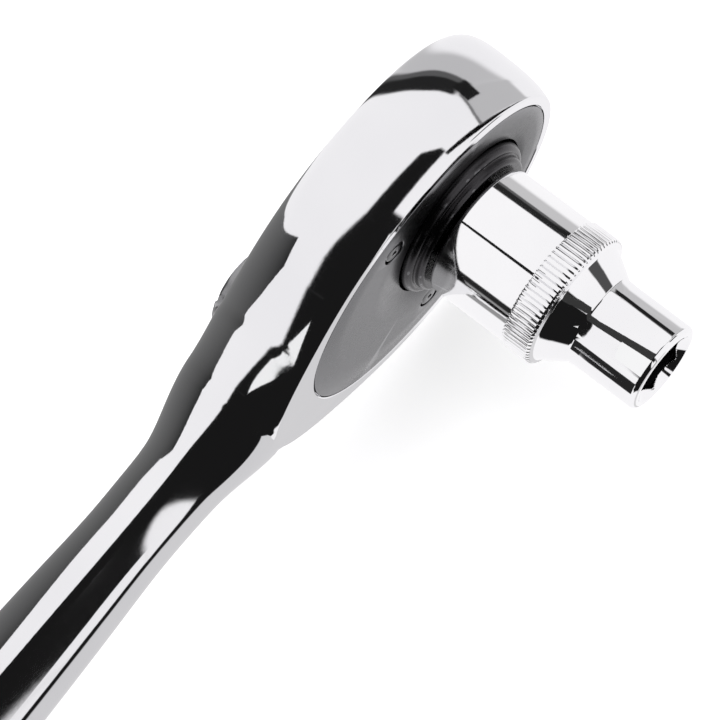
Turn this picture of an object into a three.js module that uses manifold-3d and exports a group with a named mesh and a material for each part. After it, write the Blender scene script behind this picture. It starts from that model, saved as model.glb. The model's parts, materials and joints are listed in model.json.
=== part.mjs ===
// Reversible pear-head ratchet wrench, 1/2 inch drive, with a quick-release button and a 10 mm socket.
//
// Millimetres, +Z up. The wrench lies on its side. +X runs along the handle, and +Y along the drive
// axis towards the socket. The origin is on the drive axis, at the release button's flat end face.
// Inside the `wrench` group, y = 0 is the plane of the cover plate's outer face.

import * as THREE from 'three';
import { mergeVertices } from 'three/addons/utils/BufferGeometryUtils.js';
import Module from 'manifold-3d';

const wasm = await Module();
wasm.setup();

// ---- driving dimensions ------------------------------------------------------------------------

const GAP = 0.3; // between pieces that touch on the real tool

const DRIVE_SQUARE = 12.7; // 1/2 inch drive
const BUTTON_FACE_Y = -22; // release button's end face, from the plate plane

const PLATE = { centerX: 7.1, halfLength: 27.5, halfWidth: 20.8, thickness: 2 };

const HEAD_BACK_Y = -18.8;
const HEAD_TAIL = { reach: 8.3, power: 5.65 }; // draws the round outline out towards the handle
const CAVITY_FLOOR_Y = -16.1; // where the gear and the pawl run

const GEAR = { teeth: 36, tipRadius: 15.6, rootRadius: 14.5, boreRadius: 16, backY: -15, frontY: -2.7 };
const COLLAR_RADIUS = 13.76;
const COLLAR_STEP = { radius: 12.3, y: 1.4 };
const COLLAR_FRONT_Y = 2.7;
const SQUARE_FRONT_Y = 18;
const REAR_JOURNAL = { radius: 8, backY: -17.6 };

const PIN_RADIUS = 2.45; // release pin, in the drive's axial bore
const BUTTON_RADIUS = 5.2;
const BUTTON_TRAVEL = 2.2;
const BUTTON_UNDERSIDE_Y = -18.6;
const BALL = { radius: 1.9, y: 12.8, proud: 0.2, lipRadius: 1.55 };

const SELECTOR = { x: 28, radius: 4.4, swing: 25, chamberRadius: 6.4, leverRadius: 6.2, armReach: 8 };
const PAWL = {
  pinX: 18.8, pinRadius: 1.25, rock: 4, innerRadius: 14.9, outerRadius: 19.2, halfAngle: 35,
  relief: { radius: 16.1, halfAngle: 19 }, // the middle of the inner face stays clear of the gear
};

const SCREW = {
  x: 11.5, z: 15.2, length: 8, headRadius: 1.8, headDepth: 1, shankRadius: 1.2,
  keyRadius: 0.85, keyDepth: 0.7,
};

const SOCKET = {
  rearY: 3.3, tipY: 39.7, bodyRadius: 11.2, knurlRadius: 11.5, knurlStartY: 17.7, knurlEndY: 22.8,
  coneRadius: 10, neckEndY: 28, neckRadius: 7.55, tipChamfer: 0.6, hexAcrossFlats: 10, hexFloorY: 27,
  squareDepth: 17, boreRadius: 4.4, catchRadius: 7.6, catchHalfWidth: 2.3,
};

const HANDLE = { endX: 228, axisSlope: -0.033, axisStartX: 55, axisY: -9, gripRadius: 10.4, endRadius: 11 };

// ---- geometry helpers --------------------------------------------------------------------------

const radians = THREE.MathUtils.degToRad;

function signedVolume(position, index) {
  const [a, b, c] = [new THREE.Vector3(), new THREE.Vector3(), new THREE.Vector3()];
  let sum = 0;
  for (let i = 0; i < index.length; i += 3) {
    a.fromBufferAttribute(position, index[i]);
    b.fromBufferAttribute(position, index[i + 1]);
    c.fromBufferAttribute(position, index[i + 2]);
    sum += a.dot(b.cross(c)) / 6;
  }
  return sum;
}

// Merges shared vertices, drops collapsed triangles, and turns the faces outwards.
function closed(geometry) {
  const bare = new THREE.BufferGeometry();
  bare.setAttribute('position', geometry.getAttribute('position').clone());
  if (geometry.index) bare.setIndex(geometry.index.clone());
  const merged = mergeVertices(bare, 1e-4);
  const kept = [];
  const all = merged.index.array;
  for (let i = 0; i < all.length; i += 3) {
    const [a, b, c] = [all[i], all[i + 1], all[i + 2]];
    if (a !== b && b !== c && c !== a) kept.push(a, b, c);
  }
  if (signedVolume(merged.getAttribute('position'), kept) < 0) kept.reverse();
  merged.setIndex(kept);
  return merged;
}

function solid(geometry) {
  const shape = closed(geometry);
  return new wasm.Manifold(new wasm.Mesh({
    numProp: 3,
    vertProperties: Float32Array.from(shape.getAttribute('position').array),
    triVerts: Uint32Array.from(shape.index.array),
  }));
}

function geometryOf(manifold) {
  const mesh = manifold.getMesh();
  const geometry = new THREE.BufferGeometry();
  geometry.setAttribute('position', new THREE.BufferAttribute(Float32Array.from(mesh.vertProperties), 3));
  geometry.setIndex(Array.from(mesh.triVerts));
  return geometry;
}

// Body of revolution about Y. The profile is a list of [radius, y]; `closedRing` joins its two ends.
function turned(profile, segments = 48, closedRing = false) {
  const points = profile.map(([radius, y]) => new THREE.Vector2(radius, y));
  if (closedRing) points.push(points[0].clone());
  return new THREE.LatheGeometry(points, segments);
}

function rod(radius, y0, y1, segments = 48) {
  return turned([[0, y0], [radius, y0], [radius, y1], [0, y1]], segments);
}

function ring(inner, outer, y0, y1, segments = 48) {
  return turned([[inner, y0], [outer, y0], [outer, y1], [inner, y1]], segments, true);
}

// Prism along Y: an outline of [x, z] points, from y0 to y1.
function prism(outline, y0, y1) {
  const shape = new THREE.Shape(outline.map(([x, z]) => new THREE.Vector2(x, -z)));
  const geometry = new THREE.ExtrudeGeometry(shape, { depth: y1 - y0, bevelEnabled: false });
  return geometry.rotateX(-Math.PI / 2).translate(0, y0, 0);
}

// Closed skin over rings of equally many points, with a fan at each end.
function loft(rings) {
  const count = rings[0].length;
  const points = rings.flat();
  const index = [];
  for (let r = 0; r + 1 < rings.length; r++) {
    for (let i = 0; i < count; i++) {
      const [a, b] = [r * count + i, r * count + (i + 1) % count];
      index.push(a, b, a + count, b, b + count, a + count);
    }
  }
  [rings[0], rings[rings.length - 1]].forEach((end, which) => {
    const center = end.reduce((sum, p) => sum.add(p), new THREE.Vector3()).divideScalar(count);
    const first = which === 0 ? 0 : (rings.length - 1) * count;
    for (let i = 0; i < count; i++) {
      const pair = [first + i, first + (i + 1) % count];
      index.push(...(which === 0 ? pair.reverse() : pair), points.length);
    }
    points.push(center);
  });
  const geometry = new THREE.BufferGeometry().setFromPoints(points);
  geometry.setIndex(index);
  return geometry;
}

function ellipseRing(growX, growZ, y, tail = 0, count = 60) {
  return Array.from({ length: count }, (_, i) => {
    const angle = 2 * Math.PI * i / count;
    const [c, s] = [Math.cos(angle), Math.sin(angle)];
    const drawnOut = tail * Math.max(c, 0) ** HEAD_TAIL.power;
    return new THREE.Vector3(
      PLATE.centerX + (PLATE.halfLength + growX) * c + drawnOut, y, (PLATE.halfWidth + growZ) * s,
    );
  });
}

const plateRing = (grow, y) => ellipseRing(grow, grow, y);

// Section across the handle: a superellipse, squarer as the power rises above 2.
function handleRing({ x, y, high, wide, power }, count = 28) {
  return Array.from({ length: count }, (_, i) => {
    const angle = 2 * Math.PI * i / count;
    const [c, s] = [Math.cos(angle), Math.sin(angle)];
    const reach = (v) => Math.sign(v) * Math.abs(v) ** (2 / power);
    return new THREE.Vector3(x, y + high * reach(c), wide * reach(s));
  });
}

// Coil spring about Y, as a round wire swept along a helix.
function coil(radius, wireRadius, y0, y1, turns, stepsPerTurn = 12) {
  const count = turns * stepsPerTurn;
  const route = Array.from({ length: count + 1 }, (_, i) => {
    const angle = 2 * Math.PI * i / stepsPerTurn;
    const y = y0 + wireRadius + (y1 - y0 - 2 * wireRadius) * i / count;
    return new THREE.Vector3(radius * Math.cos(angle), y, radius * Math.sin(angle));
  });
  const wire = new THREE.Shape().absarc(0, 0, wireRadius, 0, 2 * Math.PI);
  return new THREE.ExtrudeGeometry(wire, {
    extrudePath: new THREE.CatmullRomCurve3(route),
    steps: count,
    curveSegments: 2,
  });
}

// ---- materials ---------------------------------------------------------------------------------

function steel(color, roughness) {
  return new THREE.MeshStandardMaterial({ color, roughness, metalness: 1 });
}

const CHROME = steel(0xdcdde2, 0.06);
const PLATE_STEEL = steel(0x8a8a8e, 0.35);
const DARK_STEEL = steel(0x4c4c50, 0.3);
const BRIGHT_STEEL = steel(0xb6b6ba, 0.25);
const SPRING_STEEL = steel(0x8e8d8a, 0.35);
const BRONZE = steel(0xa9844e, 0.4);
const BLACK_RUBBER = new THREE.MeshStandardMaterial({ color: 0x1c1c1e, roughness: 0.8, metalness: 0 });

function piece(name, geometry, material) {
  const mesh = new THREE.Mesh(closed(geometry), material);
  mesh.name = name;
  return mesh;
}

// ---- head and handle ---------------------------------------------------------------------------

// [growth over the cover plate's outline along X, and along Z, y] from the front rim, over the
// barrelled side, to the back
const HEAD_SIDE = [
  [1.9, 1.9, 0], [2.3, 2.3, -0.5], [2.8, 2.8, -3.5], [3.2, 3.2, -8], [3.3, 3, -11], [3.2, 2, -13.8],
  [2.6, 0, -16.2], [0.4, -3, -18], [-3.6, -7, HEAD_BACK_Y],
];

// Stations along the neck and the handle. The neck is flat-sided where it leaves the head.
const NECK = [
  { x: 34, y: -9.4, high: 9.2, wide: 12.6, power: 3 },
  { x: 38, y: -9.4, high: 9.2, wide: 11.4, power: 2.8 },
  { x: 42, y: -9.5, high: 9.3, wide: 10.2, power: 2.7 },
  { x: 46, y: -9.3, high: 9.2, wide: 9.1, power: 2.5 },
  { x: 51, y: -9.1, high: 8.35, wide: 8.1, power: 2.2 },
];

// [x, radius] of the round shank, the grip and the rounded end
const SHANK = [
  [56, 7.35], [62, 7], [70, 6.95], [80, 7.4], [98, 8.2], [124, 9.3], [128, 9.3], [129, 8.8], [131, 8.8],
  [132, HANDLE.gripRadius], [204, HANDLE.gripRadius], [205, 9.2], [207, 9.2], [208, 10.6],
  [214, HANDLE.endRadius],
];

function headAndHandle() {
  const headRings = HEAD_SIDE.map(([growX, growZ, y]) => ellipseRing(growX, growZ, y, HEAD_TAIL.reach));
  const head = solid(loft(headRings));
  const axisY = (x) => HANDLE.axisY + HANDLE.axisSlope * (x - HANDLE.axisStartX);
  const round = ([x, radius]) => ({ x, y: axisY(x), high: radius, wide: radius, power: 2 });
  const dome = [0.35, 0.65, 0.85, 0.97].map((share) => {
    const lastX = SHANK[SHANK.length - 1][0];
    return round([lastX + (HANDLE.endX - lastX) * share, HANDLE.endRadius * Math.sqrt(1 - share ** 2)]);
  });
  const stations = [...NECK, ...SHANK.map(round), ...dome];
  let body = head.add(solid(loft(stations.map((station) => handleRing(station)))));
  const cut = (geometry) => { body = body.subtract(solid(geometry)); };

  const seatY = -PLATE.thickness - GAP;
  const overlap = 1; // how far each cutter runs past the face it starts from
  cut(loft([plateRing(GAP, seatY), plateRing(GAP, overlap)]));
  cut(rod(GEAR.boreRadius, CAVITY_FLOOR_Y, seatY + overlap));
  cut(rod(REAR_JOURNAL.radius + GAP, REAR_JOURNAL.backY - GAP, CAVITY_FLOOR_Y + overlap));
  cut(rod(BUTTON_RADIUS + GAP, HEAD_BACK_Y - overlap, CAVITY_FLOOR_Y + overlap));
  cut(prism(pawlChamber(), CAVITY_FLOOR_Y, seatY + overlap));
  cut(prism(box(PAWL.pinX, SELECTOR.x, PAWL_BLOCK.halfZ + 1), CAVITY_FLOOR_Y, seatY + overlap));
  const atSelector = (geometry) => geometry.translate(SELECTOR.x, 0, 0);
  cut(atSelector(rod(SELECTOR.chamberRadius, CAVITY_FLOOR_Y, seatY + overlap)));
  cut(atSelector(rod(SELECTOR.radius + GAP, HEAD_BACK_Y - overlap, CAVITY_FLOOR_Y + overlap)));
  cut(atSelector(rod(SELECTOR.leverRadius + 2 * GAP, HEAD_BACK_Y - overlap, LEVER_SEAT_Y)));
  const pinHole = rod(PAWL.pinRadius + GAP, PAWL_PIN_BACK_Y - GAP, CAVITY_FLOOR_Y + overlap, 20);
  cut(pinHole.translate(PAWL.pinX, 0, 0));
  for (const side of [-1, 1]) {
    const hole = rod(SCREW.shankRadius + GAP, -SCREW.length - GAP, seatY + overlap, 20);
    cut(hole.translate(SCREW.x, 0, side * SCREW.z));
  }
  return geometryOf(body);
}

// ---- cover plate and screws --------------------------------------------------------------------

function coverPlate() {
  let plate = solid(loft([plateRing(0, -PLATE.thickness), plateRing(0, 0)]));
  plate = plate.subtract(solid(rod(COLLAR_RADIUS + GAP, -PLATE.thickness - 1, 1)));
  for (const side of [-1, 1]) {
    const step = -SCREW.headDepth - GAP;
    const hole = turned([
      [0, -PLATE.thickness - 1], [SCREW.shankRadius + GAP, -PLATE.thickness - 1],
      [SCREW.shankRadius + GAP, step], [SCREW.headRadius + GAP, step], [SCREW.headRadius + GAP, 1], [0, 1],
    ], 24);
    plate = plate.subtract(solid(hole.translate(SCREW.x, 0, side * SCREW.z)));
  }
  return geometryOf(plate);
}

function coverScrew() {
  const body = turned([
    [0, -SCREW.length], [SCREW.shankRadius - 0.3, -SCREW.length], [SCREW.shankRadius, -SCREW.length + 0.5],
    [SCREW.shankRadius, -SCREW.headDepth], [SCREW.headRadius, -SCREW.headDepth],
    [SCREW.headRadius, -0.2], [SCREW.headRadius - 0.2, 0], [0, 0],
  ], 24);
  return geometryOf(solid(body).subtract(solid(rod(SCREW.keyRadius, -SCREW.keyDepth, 1, 6))));
}

// ---- drive gear --------------------------------------------------------------------------------

// Symmetric saw outline. `margin` grows every face outwards, which gives the tool that cuts its mate.
function gearOutline(margin = 0) {
  const tipFlat = 0.2;
  const rootFlat = 0.2;
  const pitch = 2 * Math.PI / GEAR.teeth;
  const flankShift = margin * 1.4;
  const at = (radius, angle) => [radius * Math.cos(angle), radius * Math.sin(angle)];
  const outline = [];
  for (let tooth = 0; tooth < GEAR.teeth; tooth++) {
    const middle = tooth * pitch;
    const tipHalf = (tipFlat + flankShift) / GEAR.tipRadius;
    const rootHalf = Math.min(pitch / 2 - 0.001, pitch / 2 - (rootFlat - flankShift) / GEAR.rootRadius);
    outline.push(
      at(GEAR.rootRadius + margin, middle - rootHalf), at(GEAR.tipRadius + margin, middle - tipHalf),
      at(GEAR.tipRadius + margin, middle + tipHalf), at(GEAR.rootRadius + margin, middle + rootHalf),
    );
  }
  return outline;
}

const SQUARE_OUTLINE = (half, corner) => [
  [half, -half + corner], [half, half - corner], [half - corner, half], [-half + corner, half],
  [-half, half - corner], [-half, -half + corner], [-half + corner, -half], [half - corner, -half],
];

const PIN_BORE_FRONT_Y = 15.4;
const SPRING_POCKET = { radius: 4.7, floorY: -10 };

function driveGear() {
  const half = DRIVE_SQUARE / 2;
  const seal = SEAL.groove;
  const shoulderY = GEAR.backY + 0.5;
  const hub = turned([
    [0, REAR_JOURNAL.backY], [REAR_JOURNAL.radius, REAR_JOURNAL.backY], [REAR_JOURNAL.radius, shoulderY],
    [COLLAR_RADIUS, shoulderY], [COLLAR_RADIUS, seal.y0], [seal.radius, seal.y0],
    [seal.radius, seal.y1], [COLLAR_RADIUS, seal.y1], [COLLAR_RADIUS, COLLAR_STEP.y - 0.9],
    [COLLAR_RADIUS - 0.3, COLLAR_STEP.y - 0.3], [COLLAR_RADIUS - 0.9, COLLAR_STEP.y],
    [COLLAR_STEP.radius, COLLAR_STEP.y], [COLLAR_STEP.radius, COLLAR_FRONT_Y - 0.4],
    [COLLAR_STEP.radius - 0.4, COLLAR_FRONT_Y], [0, COLLAR_FRONT_Y],
  ], 48);
  const lead = 1.2; // chamfer at the square's nose
  const square = (inset, y) => SQUARE_OUTLINE(half - inset, 1).map(([x, z]) => new THREE.Vector3(x, y, z));
  const drive = loft([square(0, 1), square(0, SQUARE_FRONT_Y - lead), square(lead / 2, SQUARE_FRONT_Y)]);
  let gear = solid(prism(gearOutline(), GEAR.backY, GEAR.frontY)).add(solid(hub)).add(solid(drive));
  gear = gear.subtract(solid(rod(PIN_RADIUS + GAP, REAR_JOURNAL.backY - 1, PIN_BORE_FRONT_Y, 32)));
  gear = gear.subtract(solid(rod(SPRING_POCKET.radius, REAR_JOURNAL.backY - 1, SPRING_POCKET.floorY, 32)));
  const pressedY = BUTTON_UNDERSIDE_Y + BUTTON_TRAVEL + GAP;
  gear = gear.subtract(solid(rod(BUTTON_RADIUS + GAP, REAR_JOURNAL.backY - 1, pressedY, 32)));
  const lipZ = half - 0.2; // the staked lip that keeps the ball in
  const ballHole = turned([
    [0, 0], [BALL.radius + GAP, 0], [BALL.radius + GAP, lipZ],
    [BALL.lipRadius, lipZ], [BALL.lipRadius, half + 1], [0, half + 1],
  ], 24);
  gear = gear.subtract(solid(ballHole.rotateX(Math.PI / 2).translate(0, BALL.y, 0)));
  return geometryOf(gear);
}

// Ring in a groove under the plate, around the collar. It keeps dirt out of the gear's cavity.
const SEAL = { groove: { radius: 12.6, y0: -1.8, y1: -0.6 } };

function driveSeal() {
  const { radius, y0, y1 } = SEAL.groove;
  const margin = GAP * 0.9;
  return ring(radius + GAP, COLLAR_RADIUS, y0 + margin, y1 - margin, 36);
}

function thrustWasher() {
  return ring(REAR_JOURNAL.radius + GAP, GEAR.rootRadius - 1, CAVITY_FLOOR_Y + GAP, GEAR.backY - GAP, 36);
}

// ---- quick release -----------------------------------------------------------------------------

function releaseButton() {
  const groove = { radius: 1.4, y: BALL.y - BUTTON_TRAVEL };
  const pinFrontY = PIN_BORE_FRONT_Y - BUTTON_TRAVEL - GAP;
  const profile = [
    [0, BUTTON_FACE_Y], [BUTTON_RADIUS - 0.8, BUTTON_FACE_Y], [BUTTON_RADIUS, BUTTON_FACE_Y + 0.8],
    [BUTTON_RADIUS, BUTTON_UNDERSIDE_Y], [PIN_RADIUS, BUTTON_UNDERSIDE_Y], [PIN_RADIUS, groove.y - 1.9],
    [groove.radius, groove.y - 1], [groove.radius, groove.y + 0.6], [PIN_RADIUS, groove.y + 1.6],
    [PIN_RADIUS, pinFrontY - 0.5], [PIN_RADIUS - 0.5, pinFrontY], [0, pinFrontY],
  ];
  return turned(profile, 32);
}

function releaseSpring() {
  const [radius, wireRadius, turns] = [3.6, 0.45, 5];
  return coil(radius, wireRadius, BUTTON_UNDERSIDE_Y + GAP, SPRING_POCKET.floorY - GAP, turns);
}

function retainingBall() {
  const ball = new THREE.SphereGeometry(BALL.radius, 16, 8);
  return ball.translate(0, BALL.y, DRIVE_SQUARE / 2 + BALL.proud - BALL.radius);
}

// ---- pawl --------------------------------------------------------------------------------------

const PAWL_BACK_Y = -15.7;
const PAWL_FRONT_Y = -2.7;
const PAWL_PIN_BACK_Y = -17.6;
const PAWL_BLOCK = { x0: 16.5, x1: 23, halfZ: 5.2 }; // carries the pin, and faces the plunger

function sector(inner, outer, halfAngle, steps = 14) {
  const arc = (radius) => Array.from({ length: steps + 1 }, (_, i) => {
    const angle = radians(-halfAngle + 2 * halfAngle * i / steps);
    return [radius * Math.cos(angle), radius * Math.sin(angle)];
  });
  return [...arc(outer), ...arc(inner).reverse()];
}

function box(x0, x1, halfZ) {
  return [[x0, -halfZ], [x1, -halfZ], [x1, halfZ], [x0, halfZ]];
}

function pawlChamber() {
  return sector(GEAR.boreRadius - 1, PAWL.outerRadius + 1.3, PAWL.halfAngle + 7);
}

// Double-ended pawl, symmetric about X when it stands in the middle of its rock.
function pawl() {
  const cutTo = (outline) => solid(prism(outline, PAWL_BACK_Y - 1, PAWL_FRONT_Y + 1));
  const crescent = sector(PAWL.innerRadius, PAWL.outerRadius, PAWL.halfAngle);
  let body = solid(prism(crescent, PAWL_BACK_Y, PAWL_FRONT_Y));
  const block = box(PAWL_BLOCK.x0, PAWL_BLOCK.x1, PAWL_BLOCK.halfZ);
  body = body.add(solid(prism(block, PAWL_BACK_Y, PAWL_FRONT_Y)));
  body = body.subtract(cutTo(sector(PAWL.innerRadius - 1, PAWL.relief.radius, PAWL.relief.halfAngle)));
  const clearOfPlunger = rod(PLUNGER.reach + 2 * GAP, PAWL_BACK_Y - 1, PAWL_FRONT_Y + 1, 40);
  body = body.subtract(solid(clearOfPlunger.translate(SELECTOR.x, 0, 0)));
  const pinHole = rod(PAWL.pinRadius + GAP, PAWL_BACK_Y - 1, PAWL_FRONT_Y + 1, 20);
  body = body.subtract(solid(pinHole.translate(PAWL.pinX, 0, 0)));
  for (const side of [-1, 1]) {
    const mate = prism(gearOutline(GAP), PAWL_BACK_Y - 1, PAWL_FRONT_Y + 1);
    mate.translate(-PAWL.pinX, 0, 0).rotateY(radians(side * PAWL.rock)).translate(PAWL.pinX, 0, 0);
    body = body.subtract(solid(mate));
  }
  return geometryOf(body).translate(-PAWL.pinX, 0, 0);
}

function pawlPin() {
  return rod(PAWL.pinRadius, PAWL_PIN_BACK_Y, -PLATE.thickness - GAP, 20);
}

// ---- selector ----------------------------------------------------------------------------------

const LEVER_SEAT_Y = -18.4;
const LEVER = { topY: -21, armTopY: -20.3, armHalfWidth: 2.6 };
const SHAFT_FRONT_Y = -2.7;
const PLUNGER = { y: -9.2, radius: 1.3, reach: 5.4, tail: 2.4 };
const CLIP = { y0: -15.8, y1: -15, inner: 3.7, outer: 5.3, opening: 2.2 };
const BORE_REACH = 2.6; // how far the plunger's bore runs past the shaft's axis
const SHAFT_SEAL = { y0: -17.6, y1: -16.6, inner: 3.75, outer: 4.4 };

// The lever and its shaft are one piece. Its arm points along +X in the middle of its swing.
function selectorLever() {
  const shaftEnd = 0.5;
  const clipGroove = CLIP.inner - GAP;
  const clipBackY = CLIP.y0 - GAP + 0.02; // a little inside the cavity
  const sealGroove = SHAFT_SEAL.inner - GAP;
  const body = turned([
    [0, LEVER.topY], [SELECTOR.leverRadius - 0.9, LEVER.topY], [SELECTOR.leverRadius, LEVER.topY + 0.8],
    [SELECTOR.leverRadius, LEVER_SEAT_Y - GAP], [SELECTOR.radius, LEVER_SEAT_Y - GAP],
    [SELECTOR.radius, SHAFT_SEAL.y0 - GAP], [sealGroove, SHAFT_SEAL.y0 - GAP],
    [sealGroove, SHAFT_SEAL.y1 + GAP], [SELECTOR.radius, SHAFT_SEAL.y1 + GAP],
    [SELECTOR.radius, clipBackY], [clipGroove, clipBackY],
    [clipGroove, CLIP.y1 + GAP], [SELECTOR.radius, CLIP.y1 + GAP],
    [SELECTOR.radius, SHAFT_FRONT_Y - shaftEnd], [SELECTOR.radius - shaftEnd, SHAFT_FRONT_Y],
    [0, SHAFT_FRONT_Y],
  ], 40);
  const reach = SELECTOR.armReach;
  const underY = HEAD_BACK_Y - GAP; // the arm passes over the head's back
  const armRing = (x, topY, half) => [
    [topY, -half + 0.6], [topY, half - 0.6], [topY + 0.6, half], [underY, half],
    [underY, -half], [topY + 0.6, -half],
  ].map(([y, z]) => new THREE.Vector3(x, y, z));
  const arm = loft([
    armRing(2, LEVER.topY + 0.1, LEVER.armHalfWidth + 1),
    armRing(reach - 1.6, LEVER.armTopY, LEVER.armHalfWidth),
    armRing(reach - 0.4, LEVER.armTopY + 0.1, LEVER.armHalfWidth - 0.6),
    armRing(reach, LEVER.armTopY + 0.5, LEVER.armHalfWidth - 1.2),
  ]);
  const bore = rod(PLUNGER.radius + GAP, 0, SELECTOR.radius + 3, 20);
  bore.translate(0, -BORE_REACH, 0).rotateZ(Math.PI / 2).translate(0, PLUNGER.y, 0);
  return geometryOf(solid(body).add(solid(arm)).subtract(solid(bore)));
}

function selectorPlunger() {
  const { radius, reach, tail } = PLUNGER;
  const nose = [0, 30, 60, 90].map((turn) => [
    radius * Math.cos(radians(turn)), reach - radius + radius * Math.sin(radians(turn)),
  ]);
  nose[3][0] = 0;
  return turned([[0, tail], [radius, tail], ...nose], 20).rotateZ(Math.PI / 2).translate(0, PLUNGER.y, 0);
}

function selectorSpring() {
  const [radius, wireRadius, turns, stepsPerTurn] = [0.95, 0.22, 5, 10];
  const spring = coil(radius, wireRadius, -BORE_REACH + GAP, PLUNGER.tail - GAP, turns, stepsPerTurn);
  return spring.rotateZ(Math.PI / 2).translate(0, PLUNGER.y, 0);
}

// E-clip: a ring with one side open, pushed into the shaft's groove.
function selectorClip() {
  const slot = box(0, CLIP.outer + 1, CLIP.opening);
  const body = solid(ring(CLIP.inner, CLIP.outer, CLIP.y0, CLIP.y1, 36));
  return geometryOf(body.subtract(solid(prism(slot, CLIP.y0 - 1, CLIP.y1 + 1))));
}

function selectorSeal() {
  return ring(SHAFT_SEAL.inner, SHAFT_SEAL.outer, SHAFT_SEAL.y0, SHAFT_SEAL.y1, 36);
}

// ---- socket ------------------------------------------------------------------------------------

function hexOutline(acrossFlats) {
  const radius = acrossFlats / Math.sqrt(3);
  return Array.from({ length: 6 }, (_, i) => {
    const angle = i * Math.PI / 3;
    return [radius * Math.cos(angle), radius * Math.sin(angle)];
  });
}

function socket() {
  const s = SOCKET;
  const edge = 0.4;
  let body = solid(turned([
    [0, s.rearY], [s.bodyRadius - edge, s.rearY], [s.bodyRadius, s.rearY + edge],
    [s.bodyRadius, s.knurlStartY], [s.knurlRadius, s.knurlStartY + edge], [s.knurlRadius, s.knurlEndY - edge],
    [s.bodyRadius - 0.6, s.knurlEndY], [s.coneRadius, s.knurlEndY + edge],
    [s.neckRadius, s.neckEndY], [s.neckRadius, s.tipY - s.tipChamfer],
    [s.neckRadius - s.tipChamfer, s.tipY], [0, s.tipY],
  ], 60));
  const cut = (geometry) => { body = body.subtract(solid(geometry)); };
  const squareFloorY = s.rearY + s.squareDepth;
  const squareHalf = DRIVE_SQUARE / 2 + GAP;
  cut(prism(SQUARE_OUTLINE(squareHalf, 0.6), s.rearY - 1, squareFloorY));
  cut(rod(s.boreRadius, squareFloorY - 1, s.hexFloorY + 1, 36));
  cut(prism(hexOutline(s.hexAcrossFlats), s.hexFloorY, s.tipY + 1));
  const mouth = s.hexAcrossFlats / 2;
  cut(turned([[0, s.tipY - 1], [mouth, s.tipY - 0.8], [mouth + 1, s.tipY + 0.2], [0, s.tipY + 0.2]], 36));
  cut(rod(s.catchRadius, BALL.y - s.catchHalfWidth, BALL.y + s.catchHalfWidth, 36)); // for the ball
  return geometryOf(body);
}

// ---- assembly ----------------------------------------------------------------------------------

const wrench = new THREE.Group();
wrench.position.y = -BUTTON_FACE_Y;

wrench.add(piece('head_and_handle', headAndHandle(), CHROME));
wrench.add(piece('cover_plate', coverPlate(), PLATE_STEEL));
for (const [name, side] of [['cover_screw_upper', 1], ['cover_screw_lower', -1]]) {
  const screw = piece(name, coverScrew(), BRIGHT_STEEL);
  screw.position.set(SCREW.x, 0, side * SCREW.z);
  wrench.add(screw);
}

const drive = new THREE.Group();
drive.add(piece('drive_gear', driveGear(), DARK_STEEL));
drive.add(piece('drive_seal', driveSeal(), BLACK_RUBBER));
drive.add(piece('release_button', releaseButton(), BRIGHT_STEEL));
drive.add(piece('release_spring', releaseSpring(), SPRING_STEEL));
drive.add(piece('retaining_ball', retainingBall(), BRIGHT_STEEL));
drive.add(piece('socket', socket(), CHROME));
wrench.add(drive);

wrench.add(piece('thrust_washer', thrustWasher(), BRONZE));

const pawlPivot = new THREE.Group(); // at rest the end on the -Z side is in the gear
pawlPivot.position.x = PAWL.pinX;
const rockingPawl = piece('pawl', pawl(), DARK_STEEL);
rockingPawl.rotation.y = radians(PAWL.rock);
pawlPivot.add(rockingPawl, piece('pawl_pin', pawlPin(), BRIGHT_STEEL));
wrench.add(pawlPivot);

const selector = new THREE.Group(); // at rest the lever stands at one end of its swing
selector.position.x = SELECTOR.x;
selector.rotation.y = radians(-SELECTOR.swing);
selector.add(piece('selector_lever', selectorLever(), BRIGHT_STEEL));
selector.add(piece('selector_plunger', selectorPlunger(), BRIGHT_STEEL));
selector.add(piece('selector_spring', selectorSpring(), SPRING_STEEL));
selector.add(piece('selector_clip', selectorClip(), SPRING_STEEL));
selector.add(piece('selector_seal', selectorSeal(), BLACK_RUBBER));
wrench.add(selector);

export default wrench;
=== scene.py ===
import json
import math

import bmesh
import bpy
import numpy as np
from mathutils import Matrix, Vector

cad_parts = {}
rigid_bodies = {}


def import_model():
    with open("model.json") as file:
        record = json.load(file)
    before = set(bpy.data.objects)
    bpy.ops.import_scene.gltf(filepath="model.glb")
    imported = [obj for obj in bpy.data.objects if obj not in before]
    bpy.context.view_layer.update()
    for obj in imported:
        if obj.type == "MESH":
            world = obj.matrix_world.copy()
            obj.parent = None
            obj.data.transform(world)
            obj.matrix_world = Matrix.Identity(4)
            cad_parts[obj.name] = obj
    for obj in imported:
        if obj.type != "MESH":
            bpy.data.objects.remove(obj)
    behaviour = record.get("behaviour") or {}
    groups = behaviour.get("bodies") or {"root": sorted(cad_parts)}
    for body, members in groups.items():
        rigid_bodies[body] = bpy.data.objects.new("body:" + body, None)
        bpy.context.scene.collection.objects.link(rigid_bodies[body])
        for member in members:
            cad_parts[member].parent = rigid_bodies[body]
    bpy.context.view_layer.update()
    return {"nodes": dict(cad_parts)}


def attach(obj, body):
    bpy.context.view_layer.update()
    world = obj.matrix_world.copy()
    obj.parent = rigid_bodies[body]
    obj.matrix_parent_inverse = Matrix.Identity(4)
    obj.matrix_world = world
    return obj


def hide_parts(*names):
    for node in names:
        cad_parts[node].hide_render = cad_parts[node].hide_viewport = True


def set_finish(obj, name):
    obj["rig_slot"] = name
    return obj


# Reversible ratchet wrench with a socket on its drive. Lengths here are millimetres, and y is measured
# from the cover plate's outer face, until add_mesh() puts a piece in the part's frame, in metres.

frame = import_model()
scene = bpy.context.scene

MM = 0.001
PLATE_Y = 22.0  # the cover plate's outer face in the part's frame
GAP = 0.3

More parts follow.
